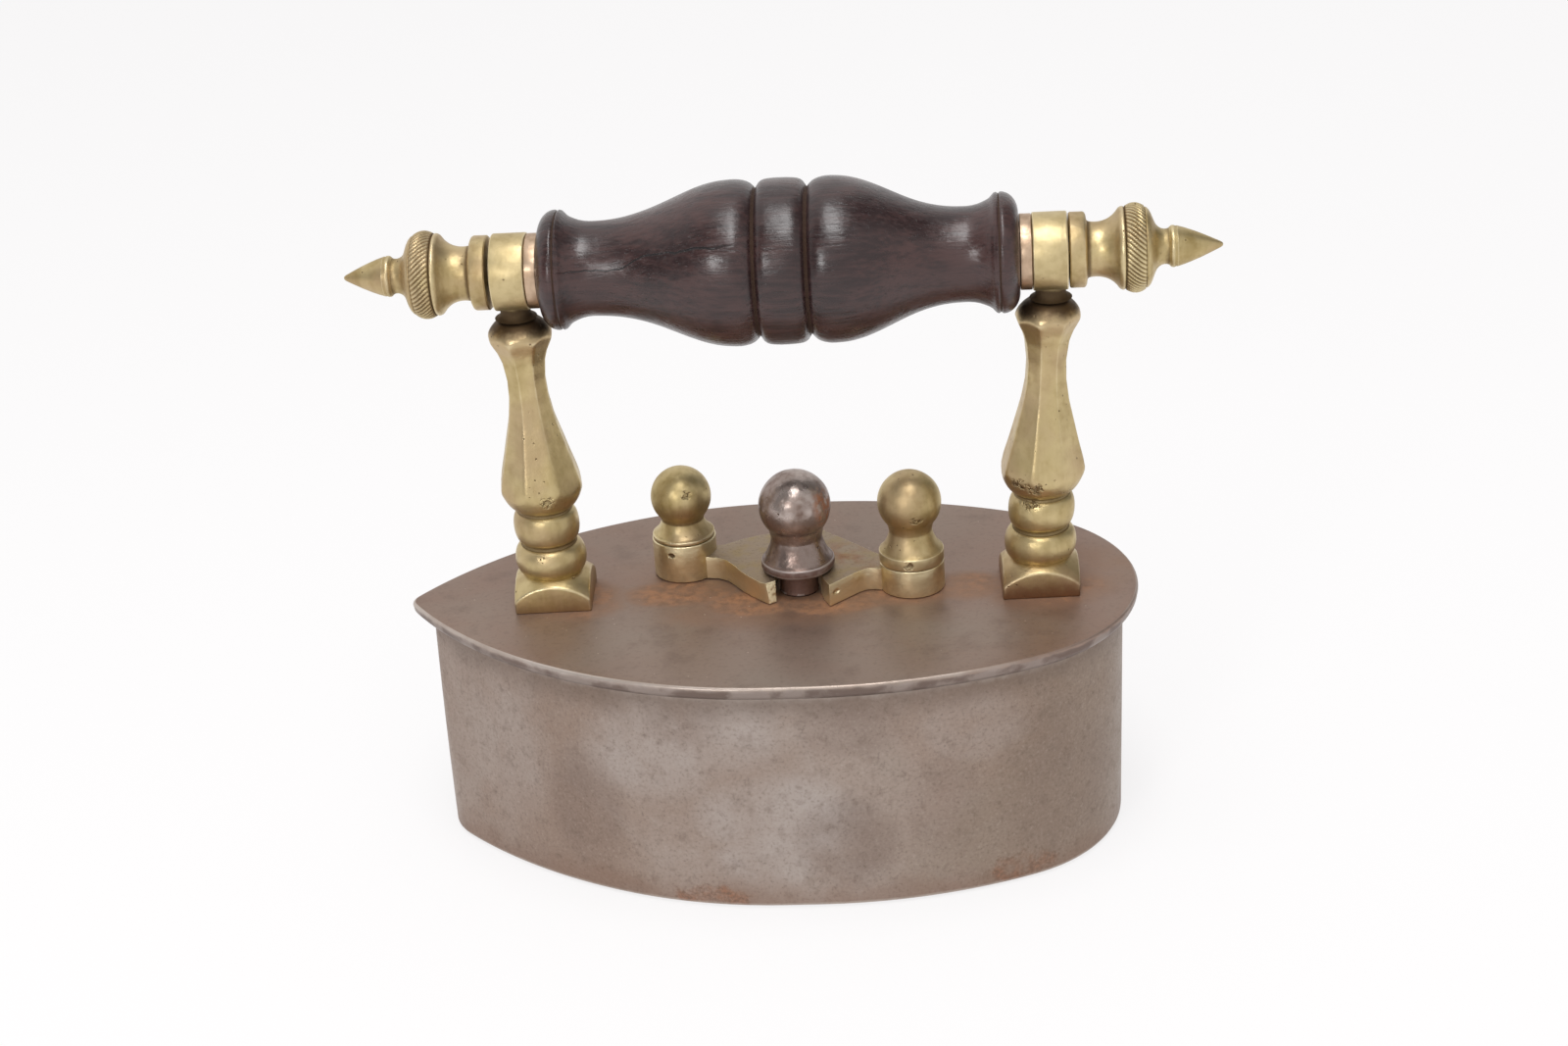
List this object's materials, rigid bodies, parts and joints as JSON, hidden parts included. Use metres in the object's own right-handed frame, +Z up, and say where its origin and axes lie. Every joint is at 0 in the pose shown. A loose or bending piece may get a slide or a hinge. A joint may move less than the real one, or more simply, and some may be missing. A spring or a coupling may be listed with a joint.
{
  "type": "slug iron",
  "caption": "Antique box iron with a lift-off lid over a chamber for a hot cast iron slug, a turned wood handle on brass pillars, and a swinging latch with a quarter-turn lock.",
  "frame": {"origin": "centre of the footprint, on the surface that the sole rests on, under the lock knob's axis", "axes": "+X towards the square heel of the iron, -X towards its pointed nose, +Z up from the sole, +Y away from the side that the picture shows"},
  "size_m": [0.2012, 0.0998, 0.164],
  "materials": {
    "aged_brass": "turned and worn, with brown tarnish in the hollows",
    "latch_brass": "cast, matte patina on top and bright filed edges",
    "aged_copper": null,
    "dark_wood": "turned, dark brown, satin from use",
    "lid_steel": "brown-grey patina with rust and a bright worn edge",
    "box_steel": "pitted, brown-grey patina",
    "lock_steel": "pitted, with worn bright edges",
    "inner_steel": "dark and dull from heat",
    "slug_iron": "rough casting with heat scale"
  },
  "bodies": {
    "box": {"sole_plate": "inner_steel", "box_wall": "box_steel", "catch_lug_near": "inner_steel", "catch_lug_far": "inner_steel", "slug_rest_nose": "inner_steel", "slug_rest_heel": "inner_steel"},
    "slug": {"heating_slug": "slug_iron"},
    "lid": {"lid_plate": "lid_steel", "lid_locating_rim": "inner_steel", "pillar_nose": "aged_brass", "pillar_heel": "aged_brass", "pillar_washer_nose": "inner_steel", "pillar_washer_heel": "inner_steel", "pillar_nut_nose": "inner_steel", "pillar_nut_heel": "inner_steel", "eye_nose": "aged_brass", "eye_heel": "aged_brass", "handle_rod": "inner_steel", "grip": "dark_wood", "copper_washer_nose": "aged_copper", "copper_washer_heel": "aged_copper", "pivot_stud": "aged_brass", "pivot_washer": "inner_steel", "pivot_nut": "inner_steel", "pivot_knob": "aged_brass"},
    "latch": {"latch_plate": "latch_brass", "thumb_knob": "aged_brass"},
    "lock": {"lock_knob": "lock_steel", "locking_bar": "inner_steel"},
    "finial_nose": {"finial_nose": "aged_brass"},
    "finial_heel": {"finial_heel": "aged_brass"}
  },
  "joints": [
    {"name": "lid_lift", "type": "slide", "parent": "box", "child": "lid", "axis": [0, 0, 1], "range_m": [0, 0.13]},
    {"name": "slug_lift", "type": "slide", "parent": "box", "child": "slug", "axis": [0, 0, 1], "range_m": [0, 0.078]},
    {"name": "latch_swing", "type": "hinge", "parent": "lid", "child": "latch", "pos_m": [0.0272, 0, 0.065], "axis": [0, 0, 1], "range_deg": [-105, 12.3]},
    {"name": "lock_knob_turn", "type": "hinge", "parent": "lid", "child": "lock", "pos_m": [0, 0, 0.065], "axis": [0, 0, 1], "range_deg": [0, 90]},
    {"name": "finial_nose_spin", "type": "hinge", "parent": "lid", "child": "finial_nose", "pos_m": [-0.07, 0, 0.145], "axis": [1, 0, 0], "continuous": true},
    {"name": "finial_heel_spin", "type": "hinge", "parent": "lid", "child": "finial_heel", "pos_m": [0.07, 0, 0.145], "axis": [1, 0, 0], "continuous": true}
  ],
  "couplings": [
    {"joint": "slug_lift", "follows": "lid_lift", "ratio": 0.6}
  ]
}
